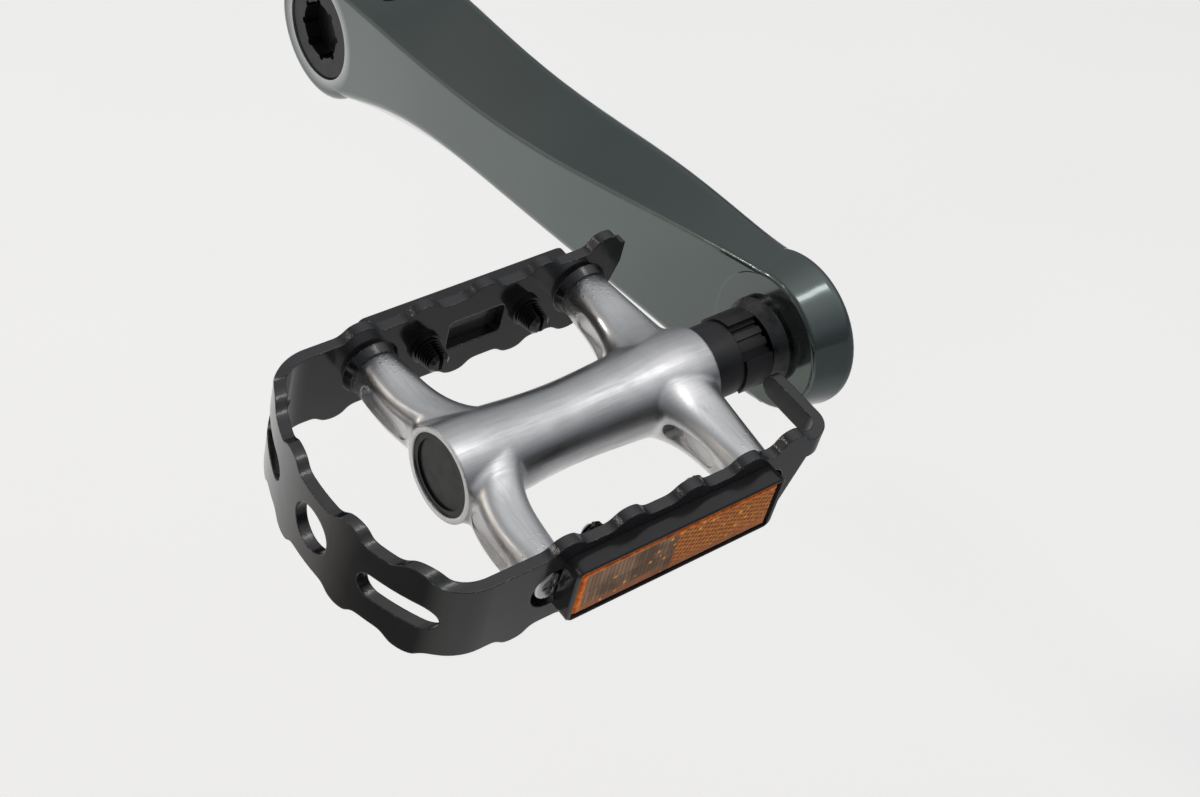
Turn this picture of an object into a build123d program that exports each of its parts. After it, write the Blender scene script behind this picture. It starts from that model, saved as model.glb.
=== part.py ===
from build123d import *
import math
import os

# Left bicycle crank arm with a caged platform pedal, millimetres.
# Origin on the spindle axis, level with the outer end of the spindle bore.
# +X runs along the arm to the pedal axis, +Y inward to the frame, +Z up.

# Crank arm
CRANK_LENGTH = 170.0
SPINDLE_R = 12.0
BOSS_R = 18.0
BOSS_OUT_Y = -5.2
BOSS_IN_Y = 16.4
BOSS_ROUND = 2.2
END_R = 16.0
END_OUT_Y = -10.6
END_IN_Y = -0.6
END_ROUND = 1.8
END_FACE_R = 14.4
END_SHOULDER = 2.4
CREST_ROUND = 1.0
THREAD_R = 7.1
THREAD_SLACK = 0.02

# Preload cap in the outer face of the boss
CAP_R = 12.4
CAP_SLACK = 0.2
CAP_SEAT_Y = -2.0
LIP_R = 10.2
LIP_SLACK = 0.3
CAP_HOLLOW_R = 7.2
CAP_FLOOR = 0.7
CAP_LOBES = 8
LOBE_R = 0.9

# Pinch slit and its two bolts
SLIT_W = 2.5
SLIT_X = 32.0
SLIT_Y = -0.2
PINCH_X = 21.5
PINCH_R = 2.5
PINCH_HEAD_R = 4.0
PINCH_HEAD_H = 5.0
PINCH_SHANK = 19.0
PINCH_SEAT = 11.0
HEX_R = 2.3
HEX_DEPTH = 3.0
STOPPER_T = 2.0

# Pedal, in its own frame: x' to the rear, y from the arm's outer face, z up
PEDAL_TILT = 15.2
FLANGE_R = 9.0
FLANGE_T = 3.8
FLANGE_RIM = 1.2
FLANGE_NECK_R = 7.4
AXLE_R = 5.0
AXLE_TIP_R = 4.2
AXLE_STEP_Y = -60.0
AXLE_END_Y = -71.0
AXLE_HEX_R = 3.4
AXLE_HEX_DEPTH = 5.5
THREAD_BEVEL = 0.6
RUN_FIT = 0.05

# Bearing sleeve
SLEEVE_Y0 = -FLANGE_T - 0.6
SLEEVE_SMOOTH_Y = -11.0
SLEEVE_Y1 = -18.3
SLEEVE_R = 7.4
SLEEVE_CHAMFER = 0.3
SLEEVE_RIB_R = 6.9
BLOCKS = 3
BLOCK_R = 7.9
BLOCK_ARC = 62.0
BLOCK_ROOT = 0.6
BLOCK_TURN = -36.0
GROOVES = 3
GROOVE_TURN = 20.0
GROOVE_W = 0.9
GROOVE_DEPTH = 0.7

# Pedal body
BODY_END_Y = -76.3
DUST_R = 8.0
DUST_SEAT = 2.3
DUST_SINK = 0.3
JOIN_R = 2.4
SLICE_POINTS = 16
POCKET_DEPTH = 1.3

# Cage strip
PLATE_IN = 27.4
STRIP_T = 2.2
STRIP_H = 8.6
CORNER_Y = -86.4
CORNER_R = 10.2
CORNER_TURN = 60.8
SPLIT_Y = -90.0
TOOTH_BASE = 10.4
TOOTH_TOP = 4.0
TOOTH_H = 1.5
LOOP_TOOTH_H = 1.55
TOOTH_PITCH = 13.5
TEETH_END_Y = -82.0
END_HOLE_R = 4.8
END_HOLE_Z = 0.4
SLOT_X = 19.4
SLOT_L = 14.4
SLOT_H = 5.8
DIMPLE_DEPTH = 1.8
DIMPLE_R = 5.2
DIMPLE_FLARE = 1.2
DISH_R = 4.6
DISH_FLARE = 0.8
WINDOW_L = 12.6
WINDOW_H = 7.2
WINDOW_ROUND = 1.2

# Teeth of the loop, x', and the horn at the plates' inner ends
LOOP_TEETH = (-22.0, -8.75, 8.75, 22.0)
HORN_Y = -20.3
HORN_H = 2.2

# Inner ends of the plates, and the rear plate's tongue
PLATE_END_Y = -15.6
PLATE_END_LOW_Y = -19.4
TONGUE_BEND_Y = -14.9
TONGUE_BEND_R = 4.7
TONGUE_TIP_X = 12.6
TONGUE_Z = 3.7
TONGUE_ROUND = 2.2

# Reflectors
REFL_L = 47.2
REFL_H = 13.4
REFL_T = 3.8
REFL_FLOOR = 1.4
REFL_ROUND = 1.8
RIM_END = 1.0
RIM_SIDE = 0.6
LENS_SINK = 0.2
LENS_BEVEL = 0.9
LENS_SLACK = 0.1
STUD_PITCH = 23.0
STUD_R = 2.8
STUD_TIP_R = 2.2
STUD_BASE_R = 3.3
STUD_BASE_T = 0.9
STUD_REACH = 5.4
STUD_RIBS = 6
STUD_RIB_H = 0.5
STUD_SLIT = 0.9
STUD_SHANK_R = 2.0
SOCKET = 1.1
HOLE_FIT = 0.1

# Screws that hold the cage
SCREW_R = 2.0
SCREW_HEAD_R = 3.4
SCREW_HEAD_H = 1.5
SCREW_SHANK = 9.0
CROSS_L = 3.4
CROSS_W = 0.9
CROSS_DEPTH = 0.9

# Pinch bolts: y of the bolt, side its head is on
PINCH_BOLTS = (
    (4.0, 1),
    (11.4, -1),
)

# Stations along the arm: fraction of its length, outer face y, inner face y,
# outer low edge z, underside y and z, crest z, top edge z
ARM_STATIONS = (
    (0.0, -5.2, 16.4, -15.5, -0.6, -18.0, 15.5, 18.0),
    (0.129, -6.3, 14.9, -10.5, 2.9, -17.6, 12.6, 19.6),
    (0.294, -8.3, 9.9, -6.0, 1.4, -15.5, 10.4, 20.2),
    (0.471, -9.6, 6.9, -7.0, -2.0, -14.2, 9.0, 17.6),
    (0.647, -10.3, 5.0, -9.4, -5.1, -14.2, 10.0, 16.8),
    (0.824, -10.6, 2.4, -12.2, -7.4, -15.0, 12.6, 16.4),
    (1.0, -10.6, -0.6, -14.3, -8.6, -15.9, 14.3, 15.9),
)

# Barrel of the pedal body: radius, distance from its inner end as a fraction
BARREL_LINE = (
    (8.6, 0.0),
    (9.0, 0.12),
    (8.6, 0.25),
    (7.9, 0.44),
    (7.8, 0.58),
    (8.5, 0.76),
    (9.2, 0.92),
    (9.2, 1.0),
)

# Arms of the body: name, y of the foot, sign toward the middle, reach at the barrel
# away from and toward the middle
ARMS = (
    ("inner", -25.0, -1, 6.3, 13.0),
    ("outer", -72.9, 1, 1.8, 14.0),
)

# Pockets in the outer flanks of the arms: distance of the flank from the foot's y,
# middle x', length, height
POCKETS = (
    (6.0, 15.2, 11.6, 3.6),
    (4.4, 16.6, 13.0, 4.4),
)

# Stations of an arm: share of its length, shares of the reach at the barrel away
# from and toward the middle, half width, half height, power of the section's oval
ARM_LINE = (
    (0.16, 1.0, 1.0, 5.0, 7.8, 2.4),
    (0.3, 0.8, 0.5, 5.0, 6.3, 2.6),
    (0.46, 0.45, 0.2, 5.0, 5.3, 3.0),
    (0.7, 0.12, 0.04, 4.9, 4.8, 3.0),
    (1.0, 0.0, 0.0, 4.8, 4.8, 2.2),
)

# Sides of the pedal: name, sign of x', middle of the reflector,
# first tooth of the top edge and of the low edge
SIDES = (
    ("rear", 1, -48.0, -30.5, -25.2),
    ("front", -1, -49.5, -35.0, -25.8),
)


def revolved(points):
    """Solid of revolution about the Y axis from (radius, y) points."""
    outline = Polyline(*points, close=True)
    return revolve(make_face(outline), Axis.Y)


def rod(radius, y0, y1):
    """Cylinder along Y from y0 to y1."""
    return revolved([(0, y0), (radius, y0), (radius, y1), (0, y1)])


def box(x, y, z):
    """Axis-aligned box from three (low, high) pairs."""
    size = [b - a for a, b in (x, y, z)]
    mid = [(a + b) / 2 for a, b in (x, y, z)]
    return Pos(*mid) * Box(*size)


def along_x(x0, x1, y, radius0, radius1):
    """Cone or cylinder along X from x0 to x1 at height zero."""
    if radius0 == radius1:
        shape = Cylinder(radius0, x1 - x0)
    else:
        shape = Cone(radius0, radius1, x1 - x0)
    return Pos((x0 + x1) / 2, y, 0) * Rot(0, 90, 0) * shape


def along_z(x, y, radius, z0, z1):
    """Cylinder along Z at (x, y) from z0 to z1."""
    return Pos(x, y, (z0 + z1) / 2) * Cylinder(radius, abs(z1 - z0))


def mirrored(side, shape):
    """The shape itself on the rear side, its mirror image on the front."""
    return shape if side > 0 else mirror(shape, Plane.YZ)


def arm_section(fraction, y_out, y_in, z_edge, y_under, z_under, z_crest, z_top):
    """Closed six-cornered section of the arm at a fraction of its length."""
    corners = (
        (y_out, z_crest, CREST_ROUND),
        (y_out, z_edge, 2.5),
        (y_under, z_under, 2.5),
        (y_in, z_under + 1.2, 1.8),
        (y_in, z_top - 1.0, 1.8),
        (y_in - 2.4, z_top, 1.6),
    )
    plane = Plane(origin=(fraction * CRANK_LENGTH, 0, 0), x_dir=(0, 1, 0), z_dir=(1, 0, 0))
    face = make_face(Polyline(*[(y, z) for y, z, _ in corners], close=True))
    for y, z, radius in corners:
        vertex = face.vertices().sort_by_distance((y, z, 0))[0]
        face = fillet(vertex, radius)
    return plane * face


def pinch_hole(y, side):
    """Stepped hole for one pinch bolt, run out through both flanks."""
    reach = side * 2 * BOSS_R
    shank = along_z(PINCH_X, y, PINCH_R + RUN_FIT, side * (PINCH_SEAT + 1), -reach)
    head = along_z(PINCH_X, y, PINCH_HEAD_R + 0.5, side * PINCH_SEAT, reach)
    return shank + head


def pedal_end():
    """Round pedal end of the arm, its wall flared from the outer face inward."""
    end = revolved([
        (0, END_OUT_Y),
        (END_FACE_R, END_OUT_Y),
        (END_R, END_IN_Y - END_SHOULDER),
        (END_R, END_IN_Y),
        (0, END_IN_Y),
    ])
    end = fillet(end.edges().filter_by(GeomType.CIRCLE).sort_by(Axis.Y)[0], CREST_ROUND)
    end = fillet(end.edges().filter_by(GeomType.CIRCLE).sort_by(Axis.Y)[-1], END_ROUND)
    return Pos(CRANK_LENGTH, 0, 0) * end


def crank_arm():
    """Forged arm with boss, bore, slit, cap recess and pedal end."""
    blade = loft([arm_section(*row) for row in ARM_STATIONS])
    boss = rod(BOSS_R, BOSS_OUT_Y, BOSS_IN_Y)
    boss = fillet(boss.edges().filter_by(GeomType.CIRCLE), BOSS_ROUND)
    arm = blade + boss + pedal_end()
    arm -= rod(CAP_R + CAP_SLACK, BOSS_OUT_Y - 1, CAP_SEAT_Y)
    arm -= rod(LIP_R, CAP_SEAT_Y - 1, 1)
    arm -= rod(SPINDLE_R, 0, BOSS_IN_Y + 1)
    arm -= Pos(CRANK_LENGTH, 0, 0) * rod(THREAD_R, END_OUT_Y - 1, END_IN_Y + 1)
    arm -= box((0, SLIT_X), (SLIT_Y, BOSS_IN_Y + 1), (-SLIT_W / 2, SLIT_W / 2))
    for y, side in PINCH_BOLTS:
        arm -= pinch_hole(y, side)
    return arm


def pinch_bolt(y, side):
    """Socket-head bolt across the slit."""
    head_top = side * (PINCH_SEAT + PINCH_HEAD_H)
    shank = along_z(PINCH_X, y, PINCH_R, side * PINCH_SEAT, side * (PINCH_SEAT - PINCH_SHANK))
    head = along_z(PINCH_X, y, PINCH_HEAD_R, side * PINCH_SEAT, head_top)
    head = fillet(head.edges().filter_by(GeomType.CIRCLE), 0.5)
    socket = extrude(RegularPolygon(HEX_R, 6), HEX_DEPTH * side)
    return shank + head - Pos(PINCH_X, y, head_top - HEX_DEPTH * side) * socket


def stopper_plate():
    """Thin plate that rests in the slit round the bolts."""
    half = STOPPER_T / 2
    plate = box((SPINDLE_R + 1.5, SLIT_X - 1), (SLIT_Y + 0.2, BOSS_IN_Y - 1.5), (-half, half))
    for y, _ in PINCH_BOLTS:
        plate -= along_z(PINCH_X, y, PINCH_R + 0.3, -STOPPER_T, STOPPER_T)
    return plate


def preload_cap():
    """Round cap with a lobed hollow, its rim clear of the spindle bore."""
    cap = rod(CAP_R, BOSS_OUT_Y + 0.4, CAP_SEAT_Y)
    cap = fillet(cap.edges().group_by(Axis.Y)[0], 0.5)
    cap += rod(LIP_R - LIP_SLACK, CAP_SEAT_Y, 0)
    cap -= rod(CAP_HOLLOW_R, BOSS_OUT_Y - 1, -CAP_FLOOR)
    for i in range(CAP_LOBES):
        lobe = Pos(CAP_HOLLOW_R, 0, 0) * rod(LOBE_R, BOSS_OUT_Y - 1, -CAP_FLOOR)
        cap -= Rot(0, 360 / CAP_LOBES * i, 0) * lobe
    return cap


def to_crank(shape):
    """Place a pedal-frame shape on the crank, tilted about the axle."""
    return Pos(CRANK_LENGTH, END_OUT_Y, 0) * Rot(0, PEDAL_TILT, 0) * shape


def pedal_axle():
    """Stepped axle with a flange, and a thread with a hex socket in the arm."""
    thread_end = END_IN_Y - END_OUT_Y - THREAD_BEVEL
    thread_r = THREAD_R - THREAD_SLACK
    axle = revolved([
        (0, thread_end),
        (thread_r - THREAD_BEVEL, thread_end),
        (thread_r, thread_end - THREAD_BEVEL),
        (thread_r, 0),
        (FLANGE_R, 0),
        (FLANGE_R, -FLANGE_RIM),
        (FLANGE_NECK_R, -FLANGE_T),
        (AXLE_R, -FLANGE_T),
        (AXLE_R, AXLE_STEP_Y),
        (AXLE_TIP_R, AXLE_STEP_Y),
        (AXLE_TIP_R, AXLE_END_Y),
        (0, AXLE_END_Y),
    ])
    end_plane = Plane(origin=(0, thread_end, 0), x_dir=(1, 0, 0), z_dir=(0, -1, 0))
    return axle - extrude(end_plane * RegularPolygon(AXLE_HEX_R, 6), AXLE_HEX_DEPTH)


def bearing_sleeve():
    """Sleeve with a smooth half, and a half with ribs between wide blocks."""
    bore = AXLE_R + RUN_FIT
    sleeve = revolved([
        (bore, SLEEVE_Y1),
        (SLEEVE_R, SLEEVE_Y1),
        (SLEEVE_R, SLEEVE_SMOOTH_Y - SLEEVE_CHAMFER),
        (SLEEVE_R - SLEEVE_CHAMFER, SLEEVE_SMOOTH_Y),
        (SLEEVE_RIB_R, SLEEVE_SMOOTH_Y),
        (SLEEVE_RIB_R, SLEEVE_Y0),
        (bore, SLEEVE_Y0),
    ])
    root = bore + BLOCK_ROOT
    middle = Pos((root + BLOCK_R) / 2, (SLEEVE_SMOOTH_Y + SLEEVE_Y0) / 2)
    wall = middle * Rectangle(BLOCK_R - root, SLEEVE_Y0 - SLEEVE_SMOOTH_Y)
    block = revolve(wall, Axis.Y, BLOCK_ARC)
    half = GROOVE_W / 2
    groove_x = (SLEEVE_RIB_R - GROOVE_DEPTH, BLOCK_R + 1)
    groove = box(groove_x, (SLEEVE_SMOOTH_Y, SLEEVE_Y0 + 1), (-half, half))
    free = 360 / BLOCKS - BLOCK_ARC
    for i in range(BLOCKS):
        turn = BLOCK_TURN + 360 / BLOCKS * i
        sleeve += Rot(0, turn, 0) * block
        for j in range(GROOVES):
            step = (j - (GROOVES - 1) / 2) * GROOVE_TURN
            sleeve -= Rot(0, turn - free / 2 + step, 0) * groove
    return sleeve


def body_barrel():
    """Waisted barrel, turned so that the seam of its skin is clear of the arms."""
    length = SLEEVE_Y1 - BODY_END_Y
    line = [(r, SLEEVE_Y1 - f * length) for r, f in BARREL_LINE]
    ends = Polyline(line[-1], (0, BODY_END_Y), (0, SLEEVE_Y1), line[0])
    return Rot(0, 90, 0) * revolve(make_face(Spline(*line) + ends), Axis.Y)


def oval(half_w, half_h, power):
    """Closed smooth outline between an ellipse (power 2) and a rectangle."""
    points = []
    for i in range(SLICE_POINTS):
        c = math.cos(2 * math.pi * i / SLICE_POINTS)
        s = math.sin(2 * math.pi * i / SLICE_POINTS)
        x = math.copysign(half_w * abs(c) ** (2 / power), c)
        y = math.copysign(half_h * abs(s) ** (2 / power), s)
        points.append((x, y))
    return make_face(Spline(*points, periodic=True))


def body_arm(y, toward, out_reach, mid_reach):
    """One rear arm, from inside the barrel to its round foot."""
    length = PLATE_IN - DIMPLE_DEPTH
    slices = []
    for share, out_share, mid_share, half_w, half_h, power in ARM_LINE:
        away = half_w + out_share * (out_reach - half_w)
        near = half_w + mid_share * (mid_reach - half_w)
        centre = y + toward * (near - away) / 2
        plane = Plane(origin=(share * length, centre, 0), x_dir=(0, 1, 0), z_dir=(1, 0, 0))
        slices.append(plane * oval((away + near) / 2, half_h, power))
    return loft(slices)


def arm_pocket(flank_y, x, length, height):
    """Shallow long recess in the outer flank of a rear arm."""
    plane = Plane(origin=(x, flank_y + POCKET_DEPTH, 0), x_dir=(1, 0, 0), z_dir=(0, -1, 0))
    return extrude(plane * SlotOverall(length, height), 4 * POCKET_DEPTH)


def seam_near(body, side, y):
    """Closed edge where the barrel's skin meets one arm."""
    skin = body.faces().filter_by(GeomType.REVOLUTION)
    seams = [e for e in skin.edges() if e.geom_type != GeomType.CIRCLE and e.center().X * side > 1]
    return min(seams, key=lambda e: abs(e.center().Y - y))


def pedal_body():
    """Waisted barrel with four arms that end in round feet."""
    body = body_barrel()
    foot_end = PLATE_IN - DIMPLE_DEPTH
    for _, y, toward, out_reach, mid_reach in ARMS:
        arm = body_arm(y, toward, out_reach, mid_reach)
        body += [arm, mirrored(-1, arm)]
    for _, y, *_ in ARMS:
        for side in (-1, 1):
            body = fillet(seam_near(body, side, y), JOIN_R)
    for (_, y, *_), (flank, *pocket) in zip(ARMS, POCKETS):
        for side in (-1, 1):
            bore = along_x(foot_end - SCREW_SHANK, foot_end + 1, y, SCREW_R + RUN_FIT, SCREW_R + RUN_FIT)
            body -= mirrored(side, arm_pocket(y - flank, *pocket))
            body -= mirrored(side, bore)
    body -= rod(AXLE_R + RUN_FIT, AXLE_STEP_Y - 0.5, SLEEVE_Y1 + 1)
    body -= rod(AXLE_TIP_R + RUN_FIT, BODY_END_Y - 1, AXLE_STEP_Y)
    body -= rod(DUST_R + RUN_FIT, BODY_END_Y - 1, BODY_END_Y + DUST_SEAT)
    return body


def dust_cap():
    """Black cap in the barrel's end, with a shallow dished face."""
    cap = rod(DUST_R, BODY_END_Y + DUST_SINK, BODY_END_Y + DUST_SEAT)
    cap -= rod(DUST_R - 1.2, BODY_END_Y, BODY_END_Y + DUST_SINK + 0.4)
    return cap


def strip_outline(offset):
    """Plan outline of the cage at an offset from the strip's middle line."""
    w = PLATE_IN + STRIP_T / 2
    turn = math.radians(CORNER_TURN)
    reach = w - CORNER_R
    loop_r = CORNER_R + reach / math.cos(turn)
    loop_y = CORNER_Y + reach * math.tan(turn)
    bend = CORNER_R + offset
    joint = (reach + bend * math.cos(turn), CORNER_Y - bend * math.sin(turn))
    mid = (reach + bend * math.cos(turn / 2), CORNER_Y - bend * math.sin(turn / 2))
    side = w + offset
    line = Line((side, 0), (side, CORNER_Y))
    line += ThreePointArc((side, CORNER_Y), mid, joint)
    line += ThreePointArc(joint, (0, loop_y - loop_r - offset), (-joint[0], joint[1]))
    line += ThreePointArc((-joint[0], joint[1]), (-mid[0], mid[1]), (-side, CORNER_Y))
    line += Line((-side, CORNER_Y), (-side, 0))
    line += Line((-side, 0), (side, 0))
    return make_face(line)


def tooth_row(first):
    """Positions of the teeth along a plate, from the first to the corner."""
    count = int((first - TEETH_END_Y) / TOOTH_PITCH) + 1
    return [first - TOOTH_PITCH * i for i in range(count)]


def tooth(s, side, rise):
    """One smooth flat-topped tooth on a strip edge."""
    low = TOOTH_BASE / 2
    high = TOOTH_TOP / 2
    edge = side * STRIP_H
    tip = side * (STRIP_H + rise)
    crown = ((s - low, edge), (s - high, tip), (s + high, tip), (s + low, edge))
    curve = Spline(*crown, tangents=((1, 0), (1, 0)))
    root = Polyline((s + low, edge), (s + low, 0), (s - low, 0), (s - low, edge))
    return make_face(curve + root)


def band(start, end, top, low, rise, horn=()):
    """Side profile of the strip: a band with low teeth on both edges."""
    mid = (start + end) / 2
    face = Pos(mid, 0) * Rectangle(abs(end - start), 2 * STRIP_H)
    for s in top:
        face += tooth(s, 1, rise)
    for s in low:
        face += tooth(s, -1, rise)
    for s in horn:
        face += tooth(s, 1, HORN_H)
    return face


def end_cut():
    """Region past the slanted inner end of a plate."""
    high = STRIP_H + HORN_H + 1
    points = (
        (PLATE_END_Y, high),
        (PLATE_END_Y, TONGUE_Z),
        (PLATE_END_LOW_Y, -STRIP_H),
        (PLATE_END_LOW_Y, -high),
        (1, -high),
        (1, high),
    )
    return make_face(Polyline(*points, close=True))


def tongue_root():
    """Side profile of the rear plate's end that carries on into the tongue."""
    start = PLATE_END_Y - 1
    middle = Pos((start + TONGUE_BEND_Y) / 2, (TONGUE_Z + STRIP_H) / 2)
    return middle * Rectangle(TONGUE_BEND_Y - start, STRIP_H - TONGUE_Z)


def tongue():
    """Flap of the rear plate, bent inward across its end."""
    outer = PLATE_IN + STRIP_T
    centre_x = outer - TONGUE_BEND_R
    face_y = TONGUE_BEND_Y + TONGUE_BEND_R
    height = STRIP_H - TONGUE_Z
    ring = Circle(TONGUE_BEND_R) - Circle(TONGUE_BEND_R - STRIP_T)
    quarter = Pos(TONGUE_BEND_R, TONGUE_BEND_R) * Rectangle(2 * TONGUE_BEND_R, 2 * TONGUE_BEND_R)
    bend = Pos(centre_x, TONGUE_BEND_Y, TONGUE_Z) * extrude(ring & quarter, height)
    flap = box((TONGUE_TIP_X, centre_x), (face_y - STRIP_T, face_y), (TONGUE_Z, STRIP_H))
    flap = fillet(flap.edges().filter_by(Axis.Y).group_by(Axis.X)[0], TONGUE_ROUND)
    return bend + flap


def dimple(y):
    """Inward boss of a plate round a screw, on the rear side."""
    x1 = PLATE_IN + STRIP_T / 2
    x0 = PLATE_IN - DIMPLE_DEPTH
    return along_x(x0, x1, y, DIMPLE_R, DIMPLE_R + DIMPLE_FLARE)


def dish(y):
    """Outer hollow of a dimple with the screw's hole, on the rear side."""
    x1 = PLATE_IN + STRIP_T
    floor = x1 - DIMPLE_DEPTH
    hollow = along_x(floor, x1 + 0.1, y, DISH_R - DISH_FLARE, DISH_R)
    radius = SCREW_R + HOLE_FIT
    return hollow + along_x(floor - 2 * STRIP_T, floor + 1, y, radius, radius)


def plate_window(y):
    """Rectangular opening of a plate between the studs, on the rear side."""
    plane = Plane(origin=(PLATE_IN - 1, y, 0), x_dir=(0, 1, 0), z_dir=(1, 0, 0))
    return extrude(plane * RectangleRounded(WINDOW_L, WINDOW_H, WINDOW_ROUND), STRIP_T + 2)


def cage():
    """Toothed wrap-around strip with dimples, windows, loop slots and tongue."""
    tall = STRIP_H + HORN_H + 1
    strip = extrude(strip_outline(STRIP_T / 2) - strip_outline(-STRIP_T / 2), tall, both=True)
    side_plane = Plane(origin=(0, 0, 0), x_dir=(0, 1, 0), z_dir=(1, 0, 0))
    loop_plane = Plane(origin=(0, SPLIT_Y, 0), x_dir=(1, 0, 0), z_dir=(0, -1, 0))
    reach = PLATE_IN + STRIP_T + 1
    regions = extrude(loop_plane * band(-reach, reach, LOOP_TEETH, LOOP_TEETH, LOOP_TOOTH_H), reach)
    for _, side, _, top, low in SIDES:
        profile = band(TONGUE_BEND_Y + 1, SPLIT_Y, tooth_row(top), tooth_row(low), TOOTH_H, (HORN_Y,))
        profile -= end_cut()
        if side > 0:
            profile += tongue_root()
        regions += extrude(side_plane * profile, side * reach)
    strip = strip & regions
    strip += tongue()
    for _, side, middle, _, _ in SIDES:
        for _, y, *_ in ARMS:
            strip += mirrored(side, dimple(y))
            strip -= mirrored(side, dish(y))
        for y in stud_places(middle):
            radius = STUD_SHANK_R + HOLE_FIT
            strip -= mirrored(side, along_x(PLATE_IN - 1, reach, y, radius, radius))
        strip -= mirrored(side, plate_window(middle))
        strip -= extrude(loop_plane * Pos(side * SLOT_X, 0) * SlotOverall(SLOT_L, SLOT_H), reach)
    strip -= extrude(loop_plane * Pos(0, END_HOLE_Z) * Circle(END_HOLE_R), reach)
    return strip


def cage_screw(side, y):
    """Pan-head screw with a cross recess, its head in the dish."""
    seat = PLATE_IN + STRIP_T - DIMPLE_DEPTH
    top = seat + SCREW_HEAD_H
    head = along_x(seat, top, y, SCREW_HEAD_R, SCREW_HEAD_R)
    head = fillet(head.edges().group_by(Axis.X)[-1], 0.55 * SCREW_HEAD_H)
    screw = head + along_x(PLATE_IN - SCREW_SHANK + 1, seat, y, SCREW_R, SCREW_R)
    for length, width in ((CROSS_L, CROSS_W), (CROSS_W, CROSS_L)):
        ends = ((y - length / 2, y + length / 2), (-width / 2, width / 2))
        screw -= box((top - CROSS_DEPTH, top + 1), *ends)
    return mirrored(side, screw)


def stud_places(middle):
    """Positions of the two studs of a reflector, the inner one first."""
    return (middle + STUD_PITCH / 2, middle - STUD_PITCH / 2)


def reflector_housing(side, middle):
    """Black tray with rounded corners, bevelled rim and two stud sockets."""
    x0 = PLATE_IN + STRIP_T
    plane = Plane(origin=(x0, middle, 0), x_dir=(0, 1, 0), z_dir=(1, 0, 0))
    shell = extrude(plane * RectangleRounded(REFL_L, REFL_H, REFL_ROUND), REFL_T)
    shell = chamfer(shell.edges().group_by(Axis.X)[-1], 0.5 * RIM_SIDE)
    pocket = plane.offset(REFL_FLOOR) * Rectangle(REFL_L - 2 * RIM_END, REFL_H - 2 * RIM_SIDE)
    shell -= extrude(pocket, REFL_T)
    for y in stud_places(middle):
        shell -= along_x(x0 - 1, x0 + SOCKET, y, STUD_SHANK_R + RUN_FIT, STUD_SHANK_R + RUN_FIT)
    return mirrored(side, shell)


def reflector_lens(side, middle):
    """Amber lens that fills the tray, its rim bevelled."""
    x0 = PLATE_IN + STRIP_T + REFL_FLOOR
    plane = Plane(origin=(x0, middle, 0), x_dir=(0, 1, 0), z_dir=(1, 0, 0))
    length = REFL_L - 2 * (RIM_END + LENS_SLACK)
    height = REFL_H - 2 * (RIM_SIDE + LENS_SLACK)
    lens = extrude(plane * Rectangle(length, height), REFL_T - REFL_FLOOR - LENS_SINK)
    lens = chamfer(lens.edges().group_by(Axis.X)[-1], LENS_BEVEL)
    return mirrored(side, lens)


def reflector_stud(side, y):
    """Ribbed split stud, thinner to its tip, that holds a reflector through its plate."""
    pitch = (STUD_REACH - STUD_BASE_T - 0.6) / STUD_RIBS
    taper = (STUD_R - STUD_TIP_R) / STUD_RIBS
    shank_end = STRIP_T + SOCKET - 0.1
    points = [(0, -shank_end), (STUD_SHANK_R, -shank_end), (STUD_SHANK_R, 0)]
    points += [(STUD_BASE_R, 0), (STUD_BASE_R, STUD_BASE_T)]
    for i in range(STUD_RIBS):
        low = STUD_BASE_T + pitch * i
        radius = STUD_R - taper * i
        points += [(radius - STUD_RIB_H, low + 0.25 * pitch), (radius - STUD_RIB_H, low + 0.5 * pitch)]
        points += [(radius, low + 0.65 * pitch), (radius, low + 0.9 * pitch)]
    points += [(STUD_TIP_R - 0.7, STUD_REACH), (0, STUD_REACH)]
    stud = revolved(points)
    half = STUD_SLIT / 2
    stud -= box((-half, half), (STUD_BASE_T + 0.6, STUD_REACH + 1), (-STUD_R - 1, STUD_R + 1))
    stud = Pos(PLATE_IN, y, 0) * Rot(0, 0, 90) * stud
    return mirrored(side, stud)


def main():
    """Build and write every node."""
    os.makedirs("parts", exist_ok=True)
    export_step(crank_arm(), "parts/crank_arm.step")
    export_step(preload_cap(), "parts/preload_cap.step")
    export_step(stopper_plate(), "parts/stopper_plate.step")
    for i, (y, side) in enumerate(PINCH_BOLTS, 1):
        export_step(pinch_bolt(y, side), f"parts/pinch_bolt_{i}.step")
    export_step(to_crank(pedal_axle()), "parts/pedal_axle.step")
    export_step(to_crank(bearing_sleeve()), "parts/bearing_sleeve.step")
    export_step(to_crank(pedal_body()), "parts/pedal_body.step")
    export_step(to_crank(dust_cap()), "parts/dust_cap.step")
    export_step(to_crank(cage()), "parts/cage.step")
    for name, side, middle, _, _ in SIDES:
        export_step(to_crank(reflector_housing(side, middle)), f"parts/reflector_housing_{name}.step")
        export_step(to_crank(reflector_lens(side, middle)), f"parts/reflector_lens_{name}.step")
        for place, y, *_ in ARMS:
            export_step(to_crank(cage_screw(side, y)), f"parts/cage_screw_{name}_{place}.step")
        for place, y in zip(("inner", "outer"), stud_places(middle)):
            export_step(to_crank(reflector_stud(side, y)), f"parts/reflector_stud_{name}_{place}.step")


main()
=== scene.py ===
import bpy
import math
from mathutils import Matrix, Vector

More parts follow.
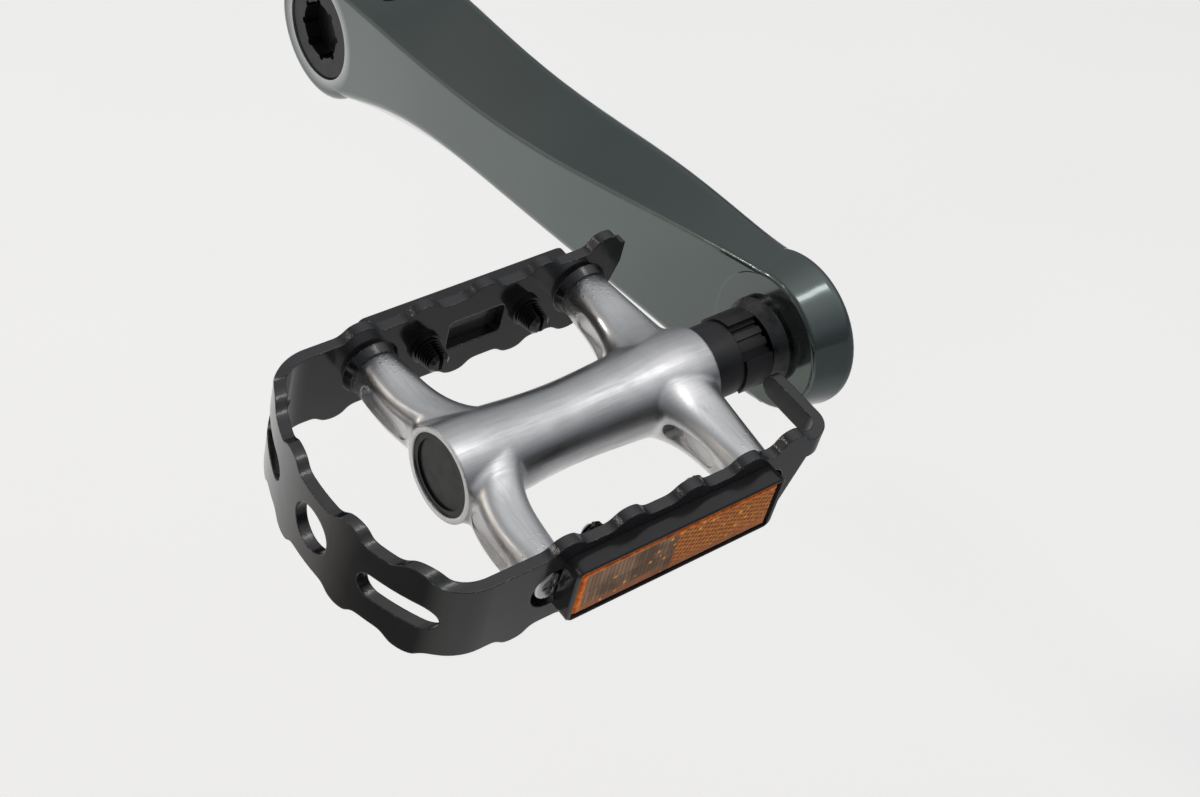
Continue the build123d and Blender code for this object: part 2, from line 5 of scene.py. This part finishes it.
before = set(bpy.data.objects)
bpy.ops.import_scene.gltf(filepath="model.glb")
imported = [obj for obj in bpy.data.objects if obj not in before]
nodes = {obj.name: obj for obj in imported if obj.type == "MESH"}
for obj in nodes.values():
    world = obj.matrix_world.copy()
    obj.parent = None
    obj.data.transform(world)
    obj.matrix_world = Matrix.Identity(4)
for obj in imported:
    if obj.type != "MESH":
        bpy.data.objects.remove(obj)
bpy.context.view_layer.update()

MM = 0.001
MM_PER_M = 1000.0

# Sizes of the part in mm, and the pedal's turn about its axle in degrees
CRANK_LENGTH = 170.0
END_OUT_Y = -10.6
PEDAL_TILT = 15.2

# Radius that the bore's bare metal reaches, and the width of its border, in mm
BARE_R = 12.1
BARE_EDGE = 0.1

# Sockets of a colour mix, several of which share a name
FACTOR = 0
MIX_A = 6
MIX_B = 7
MIXED = 2


# Node helpers

class Graph:
    """A node tree and short ways to add nodes to it."""

    def __init__(self, tree):
        self.tree = tree
        self.tree.nodes.clear()
        self.coord = self.add("ShaderNodeTexCoord")

    def add(self, kind, **props):
        node = self.tree.nodes.new(kind)
        for key, value in props.items():
            setattr(node, key, value)
        return node

    def link(self, a, a_out, b, b_in):
        self.tree.links.new(a.outputs[a_out], b.inputs[b_in])

    def calc(self, operation, *values):
        """Math node fed by numbers and (node, socket) pairs."""
        node = self.add("ShaderNodeMath", operation=operation)
        for i, value in enumerate(values):
            if isinstance(value, tuple):
                self.link(*value, node, i)
            else:
                node.inputs[i].default_value = value
        return node

    def split(self, source, socket):
        """The X, Y and Z of a vector."""
        node = self.add("ShaderNodeSeparateXYZ")
        self.link(source, socket, node, "Vector")
        return node

    def dot(self, source, socket, direction):
        """Dot product of a vector with a fixed direction."""
        node = self.add("ShaderNodeVectorMath", operation="DOT_PRODUCT")
        node.inputs[1].default_value = direction
        self.link(source, socket, node, 0)
        return node

    def ramp(self, source, socket, stops):
        """Colour ramp from (position, colour) stops."""
        ramp = self.add("ShaderNodeValToRGB")
        while len(ramp.color_ramp.elements) < len(stops):
            ramp.color_ramp.elements.new(0.5)
        for element, (position, colour) in zip(ramp.color_ramp.elements, stops):
            element.position = position
            element.color = (*colour, 1)
        self.link(source, socket, ramp, "Fac")
        return ramp

    def signed_ramp(self, source, socket, stops):
        """Colour ramp over a source that runs from -1 to 1."""
        half = self.calc("MULTIPLY_ADD", (source, socket), 0.5, 0.5)
        return self.ramp(half, "Value", [(0.5 * value + 0.5, colour) for value, colour in stops])

    def mix(self, a, a_out, b, b_out, factor=None, factor_out=None, kind="MIX"):
        """Colour mix of a and b by a factor, or in full without one."""
        node = self.add("ShaderNodeMix", data_type="RGBA", blend_type=kind)
        if factor is None:
            node.inputs[FACTOR].default_value = 1.0
        else:
            self.link(factor, factor_out, node, FACTOR)
        self.link(a, a_out, node, MIX_A)
        self.link(b, b_out, node, MIX_B)
        return node


class Shader(Graph):
    """A material with one principled shader."""

    def __init__(self, name):
        self.mat = bpy.data.materials.new(name)
        self.mat.use_nodes = True
        super().__init__(self.mat.node_tree)
        out = self.add("ShaderNodeOutputMaterial")
        self.bsdf = self.add("ShaderNodeBsdfPrincipled")
        self.link(self.bsdf, "BSDF", out, "Surface")

    def set(self, **values):
        for key, value in values.items():
            self.bsdf.inputs[key.replace("_", " ")].default_value = value

    def paint(self, socket, source, source_out="Color"):
        """Feed an input of the principled shader."""
        self.link(source, source_out, self.bsdf, socket)

    def place(self, location=(0, 0, 0), rotation=(0, 0, 0), scale=(1, 1, 1)):
        """Object coordinates moved, turned and scaled."""
        mapping = self.add("ShaderNodeMapping")
        mapping.inputs["Location"].default_value = location
        mapping.inputs["Rotation"].default_value = rotation
        mapping.inputs["Scale"].default_value = scale
        self.link(self.coord, "Object", mapping, "Vector")
        return mapping

    def pedal(self):
        """Coordinates of the pedal's own frame: to the rear, along the axle, up."""
        tilt = math.radians(PEDAL_TILT)
        along = -CRANK_LENGTH * MM
        return self.place(
            location=(along * math.cos(tilt), -END_OUT_Y * MM, along * math.sin(tilt)),
            rotation=(0, -tilt, 0),
        )

    def stretched(self, where, stretch):
        """Given coordinates scaled along their own axes."""
        mapping = self.add("ShaderNodeMapping")
        mapping.inputs["Scale"].default_value = stretch
        self.link(where, "Vector", mapping, "Vector")
        return mapping

    def slope(self, source, axis, per_mm, offset):
        """So much for each mm of a coordinate, plus an offset."""
        return self.calc("MULTIPLY_ADD", (source, axis), per_mm * MM_PER_M, offset)

    def noise(self, size_mm, detail, rough=0.55, where=None, stretch=(1, 1, 1)):
        """Noise whose blotches are about size_mm across."""
        if where is None:
            where = self.place(scale=stretch)
        tex = self.add("ShaderNodeTexNoise")
        tex.inputs["Scale"].default_value = MM_PER_M / size_mm
        tex.inputs["Detail"].default_value = detail
        tex.inputs["Roughness"].default_value = rough
        self.link(where, "Vector", tex, "Vector")
        return tex

    def cells(self, size_mm, where, socket="Vector"):
        """Cells about size_mm across, with the distance from their middles."""
        tex = self.add("ShaderNodeTexVoronoi", feature="F1")
        tex.inputs["Scale"].default_value = MM_PER_M / size_mm
        self.link(where, socket, tex, "Vector")
        return tex

    def grey(self, source, socket, stops):
        """Ramp between grey levels, for roughness and masks."""
        return self.ramp(source, socket, [(p, (v, v, v)) for p, v in stops])

    def round_edges(self, radius_mm):
        """Normal that rounds sharp edges a little."""
        bevel = self.add("ShaderNodeBevel", samples=4)
        bevel.inputs["Radius"].default_value = radius_mm * MM
        return bevel

    def edges(self, radius_mm):
        """Mask that is 1 on sharp edges and 0 on flat faces."""
        bevel = self.round_edges(radius_mm)
        shape = self.add("ShaderNodeNewGeometry")
        same = self.add("ShaderNodeVectorMath", operation="DOT_PRODUCT")
        self.link(bevel, "Normal", same, 0)
        self.link(shape, "Normal", same, 1)
        return self.grey(same, "Value", [(0.80, 1.0), (0.97, 0.0)])

    def bump(self, source, socket, height_mm, strength, below):
        """Normal below with the source's relief on it."""
        node = self.add("ShaderNodeBump")
        node.inputs["Strength"].default_value = strength
        node.inputs["Distance"].default_value = height_mm * MM
        self.link(source, socket, node, "Height")
        self.link(below, "Normal", node, "Normal")
        return node

    def finish(self, normal):
        self.link(normal, "Normal", self.bsdf, "Normal")
        return self.mat


# Materials

def anodised_grey():
    """Glossy grey anodised skin, bare turned metal in the spindle bore."""
    s = Shader("crank_grey")
    tone = s.noise(70, 3, stretch=(0.6, 1, 1))
    skin = s.ramp(tone, "Fac", [(0.3, (0.080, 0.102, 0.099)), (0.7, (0.108, 0.132, 0.128))])
    from_axis = s.add("ShaderNodeVectorMath", operation="LENGTH")
    s.link(s.place(scale=(1, 0, 1)), "Vector", from_axis, 0)
    bored = s.grey(from_axis, "Value", [(BARE_R * MM, 1.0), ((BARE_R + BARE_EDGE) * MM, 0.0)])
    turned = s.noise(0.5, 3, stretch=(0.05, 1, 0.05))
    bare = s.ramp(turned, "Fac", [(0.35, (0.50, 0.50, 0.51)), (0.65, (0.62, 0.62, 0.63))])
    colour = s.mix(skin, "Color", bare, "Color", bored, "Color")
    s.paint("Base Color", colour, MIXED)
    rough = s.noise(14, 5)
    sheen = s.grey(rough, "Fac", [(0.35, 0.12), (0.7, 0.20)])
    coarse = s.grey(turned, "Fac", [(0.35, 0.28), (0.65, 0.42)])
    level = s.mix(sheen, "Color", coarse, "Color", bored, "Color")
    s.paint("Roughness", level, MIXED)
    coat = s.grey(bored, "Color", [(0.0, 0.5), (1.0, 0.0)])
    s.paint("Coat Weight", coat)
    s.set(Metallic=0.8, Coat_Roughness=0.03, IOR=1.5)
    edge = s.round_edges(0.12)
    peel = s.noise(1.6, 2)
    return s.finish(s.bump(peel, "Fac", 0.004, 0.3, edge))


def gloss_black():
    """Gloss black paint, shinier and grainy on the strip's sheared edges, with pale specks on its
    sharp edges that are partly chipped paint and partly painted glints.
    """
    s = Shader("cage_black")
    tone = s.noise(9, 4)
    paint = s.ramp(tone, "Fac", [(0.3, (0.009, 0.009, 0.0105)), (0.75, (0.015, 0.0152, 0.017))])
    # Pale specks on sharp edges: partly chipped paint, partly painted glints
    chips_and_glints = s.grey(s.noise(0.7, 3), "Fac", [(0.56, 0.0), (0.62, 1.0)])
    worn_and_glinting = s.calc("MULTIPLY", (chips_and_glints, "Color"), (s.edges(0.35), "Color"))
    bare = s.ramp(tone, "Fac", [(0.3, (0.16, 0.16, 0.16)), (0.7, (0.30, 0.30, 0.30))])
    colour = s.mix(paint, "Color", bare, "Color", worn_and_glinting, "Value")
    s.paint("Base Color", colour, MIXED)
    # Sheared edges face up or down in the pedal's own frame
    tilt = math.radians(PEDAL_TILT)
    facing = s.dot(s.add("ShaderNodeNewGeometry"), "Normal", (math.sin(tilt), 0, math.cos(tilt)))
    upright = s.calc("ABSOLUTE", (facing, "Value"))
    sheared = s.grey(upright, "Value", [(0.35, 0.0), (0.6, 1.0)])
    rough = s.noise(5, 6)
    smooth = s.grey(rough, "Fac", [(0.35, 0.09), (0.7, 0.20)])
    torn = s.grey(rough, "Fac", [(0.35, 0.07), (0.7, 0.16)])
    level = s.mix(smooth, "Color", torn, "Color", sheared, "Color")
    s.paint("Roughness", level, MIXED)
    shine = s.grey(sheared, "Color", [(0.0, 0.5), (1.0, 1.0)])
    s.paint("Specular IOR Level", shine)
    s.set(Metallic=0.0, IOR=1.46)
    edge = s.round_edges(0.4)
    waves = s.noise(4.5, 3)
    broad = s.bump(waves, "Fac", 0.03, 0.4, edge)
    specks = s.noise(0.5, 2)
    fine = s.bump(specks, "Fac", 0.003, 0.4, broad)
    torn_grain = s.calc("MULTIPLY", (s.noise(0.6, 4, 0.65), "Fac"), (sheared, "Color"))
    return s.finish(s.bump(torn_grain, "Value", 0.07, 0.6, fine))


def cast_alloy():
    """Polished alloy with fine lines along the barrel and along the arms."""
    s = Shader("body_alloy")
    where = s.pedal()
    away = s.calc("ABSOLUTE", (s.split(where, "Vector"), "X"))
    arms = s.grey(away, "Value", [(0.0085, 0.0), (0.012, 1.0)])
    barrel_lines = s.noise(0.55, 4, 0.65, where=s.stretched(where, (1, 0.035, 1)))
    arm_lines = s.noise(0.55, 4, 0.65, where=s.stretched(where, (0.05, 1, 1)))
    lines = s.mix(barrel_lines, "Fac", arm_lines, "Fac", arms, "Color")
    cloud = s.noise(9, 4)
    cloudy = s.grey(cloud, "Fac", [(0.3, 0.35), (0.7, 0.6)])
    tone = s.mix(lines, MIXED, cloud, "Fac", cloudy, "Color")
    colour = s.ramp(tone, MIXED, [(0.36, (0.60, 0.603, 0.61)), (0.62, (0.75, 0.748, 0.75))])
    s.paint("Base Color", colour)
    level = s.grey(tone, MIXED, [(0.36, 0.44), (0.62, 0.28)])
    s.paint("Roughness", level)
    s.set(Metallic=1.0)
    edge = s.round_edges(0.6)
    skin = s.noise(6.0, 2)
    broad = s.bump(skin, "Fac", 0.06, 0.4, edge)
    lined = s.bump(lines, MIXED, 0.005, 0.4, broad)
    # Casting pits, in patches on the arms' feet
    pits = s.cells(0.8, s.coord, "Object")
    dot = s.grey(pits, "Distance", [(0.08, 1.0), (0.34, 0.0)])
    foot = s.grey(away, "Value", [(0.015, 0.0), (0.018, 1.0)])
    patch = s.grey(s.noise(6, 2), "Fac", [(0.46, 0.0), (0.54, 1.0)])
    both = s.calc("MULTIPLY", (dot, "Color"), (patch, "Color"))
    near = s.calc("MULTIPLY", (both, "Value"), (foot, "Color"))
    return s.finish(s.bump(near, "Value", 0.06, 0.7, lined))


def mottled(name, tones, tone_mm, levels, rough_mm, grain_mm, edge_mm, **values):
    """Skin whose tone and roughness each vary softly between two ends."""
    s = Shader(name)
    s.paint("Base Color", s.ramp(s.noise(tone_mm, 4), "Fac", [(0.3, tones[0]), (0.75, tones[1])]))
    s.paint("Roughness", s.grey(s.noise(rough_mm, 5), "Fac", [(0.3, levels[0]), (0.75, levels[1])]))
    s.set(**values)
    edge = s.round_edges(edge_mm)
    return s.finish(s.bump(s.noise(grain_mm, 3), "Fac", 0.02, 0.5, edge))


def plastic(name, tone, levels, grain_mm, edge_mm=0.2, mirror=0.5):
    """Moulded plastic, half as light again in its lighter blotches."""
    tones = (tone, tuple(c * 1.5 for c in tone))
    return mottled(name, tones, 7, levels, 3, grain_mm, edge_mm, IOR=1.48, Specular_IOR_Level=mirror)


def steel(name, tones):
    """Plated or blackened steel."""
    return mottled(name, tones, 3, (0.16, 0.36), 1.5, 0.8, 0.2, Metallic=1.0)


def amber():
    """Two zones of fine prisms, striped and dotted, with a painted glow of deep, bright orange at
    the outer end and along the top.
    """
    s = Shader("amber_lens")
    flat = s.split(s.pedal(), "Vector")
    sheet = s.add("ShaderNodeCombineXYZ")
    s.link(flat, "Y", sheet, "X")
    s.link(flat, "Z", sheet, "Y")
    blot = s.noise(5, 3)

    # Dotted zone: cells in a turned, nearly even grid
    grid = s.add("ShaderNodeMapping")
    grid.inputs["Rotation"].default_value = (0, 0, math.radians(24))
    s.link(sheet, "Vector", grid, "Vector")
    cells = s.cells(1.0, grid)
    cells.inputs["Randomness"].default_value = 0.22
    dots = s.ramp(cells, "Distance", [
        (0.18, (0.16, 0.045, 0.008)),
        (0.42, (0.40, 0.120, 0.016)),
        (0.62, (0.60, 0.200, 0.024)),
    ])

    # Striped zone: upright bars, sizes in mm, shaded in broad blotches
    bars = s.add("ShaderNodeTexBrick")
    bars.offset = 0.3
    bars.inputs["Color1"].default_value = (0.31, 0.185, 0.105, 1)
    bars.inputs["Color2"].default_value = (0.22, 0.125, 0.070, 1)
    bars.inputs["Mortar"].default_value = (0.14, 0.072, 0.040, 1)
    bars.inputs["Scale"].default_value = MM_PER_M
    bars.inputs["Mortar Size"].default_value = 0.14
    bars.inputs["Mortar Smooth"].default_value = 0.6
    bars.inputs["Brick Width"].default_value = 0.95
    bars.inputs["Row Height"].default_value = 5.0
    s.link(sheet, "Vector", bars, "Vector")
    shade = s.grey(s.noise(8, 2), "Fac", [(0.38, 0.5), (0.55, 1.0)])
    striped = s.mix(bars, "Color", shade, "Color", kind="MULTIPLY")
    zone = s.grey(s.slope(flat, "Y", 0.4, 20.0), "Value", [(0.4, 0.0), (0.6, 1.0)])
    halves = s.mix(striped, MIXED, dots, "Color", zone, "Color")

    # Warmer toward the low edge
    warm = s.ramp(blot, "Fac", [(0.35, (0.24, 0.075, 0.025)), (0.7, (0.52, 0.16, 0.035))])
    patch = s.calc("ADD", (s.slope(flat, "Z", -0.6, -1.9), "Value"), (blot, "Fac"))
    share = s.grey(patch, "Value", [(0.35, 0.0), (0.9, 0.75)])
    body = s.mix(halves, MIXED, warm, "Color", share, "Color")

    # Painted glints: a few bright orange sparks in the base colour
    painted_spark_cell = s.grey(s.cells(1.9, sheet), "Distance", [(0.10, 1.0), (0.26, 0.0)])
    some = s.grey(s.noise(4, 1), "Fac", [(0.40, 0.0), (0.48, 1.0)])
    painted_glint = s.calc("MULTIPLY", (painted_spark_cell, "Color"), (some, "Color"))
    bright = s.ramp(blot, "Fac", [(0.3, (0.95, 0.30, 0.02)), (0.7, (1.0, 0.46, 0.06))])
    lit = s.mix(body, MIXED, bright, "Color", painted_glint, "Value")

    # Painted glow: deep, bright orange at the outer end and, raggedly, along the top
    end = s.grey(s.slope(flat, "Y", -1.0, -68.7), "Value", [(0.0, 0.0), (0.25, 1.0)])
    ragged = s.calc("ADD", (s.slope(flat, "Z", 1.0, -4.6), "Value"), (blot, "Fac"))
    top = s.grey(ragged, "Value", [(0.35, 0.0), (0.8, 0.9)])
    painted_edge_glow = s.calc("MAXIMUM", (end, "Color"), (top, "Color"))
    glow_orange = s.ramp(s.noise(1.2, 3), "Fac", [(0.35, (0.45, 0.07, 0.004)), (0.65, (0.95, 0.22, 0.012))])
    s.paint("Base Color", s.mix(lit, MIXED, glow_orange, "Color", painted_edge_glow, "Value"), MIXED)

    s.set(Roughness=0.28, IOR=1.45, Specular_IOR_Level=0.1)
    return s.finish(s.bump(halves, MIXED, 0.08, 0.4, s.round_edges(0.15)))


skins = {
    "crank_grey": anodised_grey(),
    "cage_black": gloss_black(),
    "body_alloy": cast_alloy(),
    "housing": plastic("housing_plastic", (0.017, 0.017, 0.0185), (0.10, 0.24), 0.9),
    "stud": plastic("stud_plastic", (0.007, 0.007, 0.008), (0.08, 0.16), 0.9, 0.07),
    "sleeve": plastic("sleeve_plastic", (0.009, 0.009, 0.0105), (0.3, 0.5), 0.7),
    "dust": plastic("dust_plastic", (0.007, 0.007, 0.008), (0.28, 0.45), 0.8, 0.2, 0.32),
    "steel": steel("plated_steel", ((0.5, 0.5, 0.51), (0.66, 0.66, 0.66))),
    "dark_steel": steel("dark_steel", ((0.05, 0.05, 0.052), (0.1, 0.1, 0.1))),
    "amber": amber(),
}

# How a piece's name starts and its skin; the first that fits counts
LOOKS = (
    ("crank_arm", "crank_grey"),
    ("preload_cap", "dust"),
    ("stopper_plate", "housing"),
    ("pinch_bolt", "steel"),
    ("pedal_axle", "dark_steel"),
    ("bearing_sleeve", "sleeve"),
    ("pedal_body", "body_alloy"),
    ("dust_cap", "dust"),
    ("cage_screw", "steel"),
    ("cage", "cage_black"),
    ("reflector_housing", "housing"),
    ("reflector_lens", "amber"),
    ("reflector_stud", "stud"),
)

for name, obj in nodes.items():
    look = next(look for start, look in LOOKS if name.startswith(start))
    obj.data.materials.clear()
    obj.data.materials.append(skins[look])


# Camera

# Fit to the photograph: place in m, then yaw, pitch down and roll in degrees
CAMERA_PLACE = (0.40654, -0.24856, 0.21197)
CAMERA_TURN = (50.13, 34.26, 2.52)
SENSOR_MM = 36.0
LENS_MM = 61.13


def aim(location, yaw, pitch, roll):
    """Camera matrix from its place and its three angles in degrees."""
    yaw, pitch, roll = (math.radians(a) for a in (yaw, pitch, roll))
    level = math.cos(pitch)
    ahead = Vector((-math.sin(yaw) * level, math.cos(yaw) * level, -math.sin(pitch)))
    right = Vector((math.cos(yaw), math.sin(yaw), 0))
    up = right.cross(ahead)
    right_r = right * math.cos(roll) + up * math.sin(roll)
    up_r = up * math.cos(roll) - right * math.sin(roll)
    matrix = Matrix((right_r, up_r, -ahead)).transposed().to_4x4()
    matrix.translation = location
    return matrix


camera = bpy.data.objects.new("camera", bpy.data.cameras.new("camera"))
bpy.context.scene.collection.objects.link(camera)
camera.data.sensor_width = SENSOR_MM
camera.data.lens = LENS_MM
camera.data.clip_start = 0.01
camera.data.clip_end = 20.0
camera.matrix_world = aim(CAMERA_PLACE, *CAMERA_TURN)
bpy.context.scene.camera = camera
bpy.context.scene.view_settings.view_transform = "Standard"


# Floor, world and lamps

# Floor: half its side and its height in m, and how much it glows
FLOOR_HALF = 6.0
FLOOR_Z = -0.22
FLOOR_GLOW = 0.38

# Painted shadows that only mirrored rays see: the middle of a shadow spot, and the x + y where
# painted shade on the far side starts
SHADOW_SPOT = (0.11, -0.28, 0)
SHADE_REACH = 0.14

# Direction of the brightest part of the sky
SKY_PEAK = (0.25, 0.45, 0.857)

# Glows of the sky: direction, cosines where they start and are full, colour
GLOWS = (
    ((-0.62, -0.76, 0.20), 0.62, 0.95, (0.50, 0.44, 0.375)),
    ((-0.93, 0.05, 0.36), 0.55, 0.95, (0.16, 0.16, 0.16)),
)

# Lamps: name, place, target, width and height in m, power in W, colour
LAMPS = (
    ("strip", (0.62, 0.42, 1.25), (0.15, -0.05, 0), (0.12, 0.5), 1.0, (1, 1, 1)),
    ("window", (-0.62, -0.70, 0.72), (0.16, -0.06, 0), (0.07, 0.12), 1.1, (1.0, 0.95, 0.88)),
    ("pane", (-0.13, -0.78, 0.92), (0.16, -0.06, 0), (0.08, 0.10), 0.4, (1.0, 0.92, 0.84)),
)


def floor_skin():
    """Pale glowing skin; mirrored in the object it shows a painted shadow spot and painted shade on
    its far side.
    """
    s = Shader("floor")
    pale = s.ramp(s.noise(400, 2), "Fac", [(0.3, (0.90, 0.897, 0.89)), (0.7, (0.93, 0.928, 0.922))])
    far = s.add("ShaderNodeVectorMath", operation="DISTANCE")
    far.inputs[1].default_value = SHADOW_SPOT
    s.link(s.coord, "Object", far, 0)
    # Painted shadow spot and painted shade on the far side, seen only by mirrored rays
    spot = s.ramp(far, "Value", [
        (0.07, (0.16, 0.15, 0.135)),
        (0.16, (0.75, 0.73, 0.70)),
        (0.3, (1, 1, 1)),
    ])
    flat = s.split(s.coord, "Object")
    along = s.calc("ADD", (flat, "X"), (flat, "Y"))
    side = s.ramp(along, "Value", [
        (SHADE_REACH, (1, 1, 1)),
        (SHADE_REACH + 0.16, (0.5, 0.5, 0.51)),
        (SHADE_REACH + 0.4, (0.26, 0.27, 0.28)),
    ])
    mirrored = s.mix(spot, "Color", side, "Color", kind="MULTIPLY")
    path = s.add("ShaderNodeLightPath")
    dim = s.mix(pale, "Color", mirrored, MIXED, path, "Is Glossy Ray", kind="MULTIPLY")
    s.paint("Base Color", dim, MIXED)
    s.paint("Emission Color", dim, MIXED)
    s.set(Roughness=0.85, Emission_Strength=FLOOR_GLOW)
    return s.mat


def lay_floor():
    mesh = bpy.data.meshes.new("floor")
    h = FLOOR_HALF
    mesh.from_pydata([(-h, -h, 0), (h, -h, 0), (h, h, 0), (-h, h, 0)], [], [(0, 1, 2, 3)])
    mesh.materials.append(floor_skin())
    floor = bpy.data.objects.new("floor", mesh)
    floor.location = (0, 0, FLOOR_Z)
    bpy.context.scene.collection.objects.link(floor)


def lamp(name, place, target, size, power, colour):
    data = bpy.data.lights.new(name, "AREA")
    data.shape = "RECTANGLE"
    data.size, data.size_y = size
    data.energy = power
    data.color = colour
    obj = bpy.data.objects.new(name, data)
    obj.location = place
    obj.rotation_euler = (Vector(target) - Vector(place)).to_track_quat("-Z", "Y").to_euler()
    bpy.context.scene.collection.objects.link(obj)


def studio_world():
    """Soft sky with two glows, brightest high behind the arm and dimmer near the horizon."""
    world = bpy.data.worlds.new("studio")
    bpy.context.scene.world = world
    world.use_nodes = True
    g = Graph(world.node_tree)
    peak = g.signed_ramp(g.dot(g.coord, "Generated", SKY_PEAK), "Value", (
        (-0.8, (0.14, 0.14, 0.145)),
        (0.3, (0.18, 0.185, 0.195)),
        (0.55, (0.25, 0.26, 0.275)),
        (0.78, (0.43, 0.44, 0.455)),
        (0.9, (0.66, 0.67, 0.68)),
        (0.97, (0.86, 0.86, 0.87)),
        (1.0, (1.0, 1.0, 1.0)),
    ))
    height = g.signed_ramp(g.split(g.coord, "Generated"), "Z", (
        (0.0, (0.42, 0.43, 0.45)),
        (0.15, (0.6, 0.61, 0.63)),
        (0.35, (1.0, 1.0, 1.0)),
    ))
    total = g.mix(peak, "Color", height, "Color", kind="MULTIPLY")
    for direction, start, full, colour in GLOWS:
        toward = g.dot(g.coord, "Generated", direction)
        glow = g.signed_ramp(toward, "Value", ((start, (0, 0, 0)), (full, colour)))
        total = g.mix(total, MIXED, glow, "Color", kind="ADD")
    back = g.add("ShaderNodeBackground")
    back.inputs["Strength"].default_value = 1.0
    g.link(total, MIXED, back, "Color")
    g.link(back, "Background", g.add("ShaderNodeOutputWorld"), "Surface")


lay_floor()
studio_world()
for values in LAMPS:
    lamp(*values)
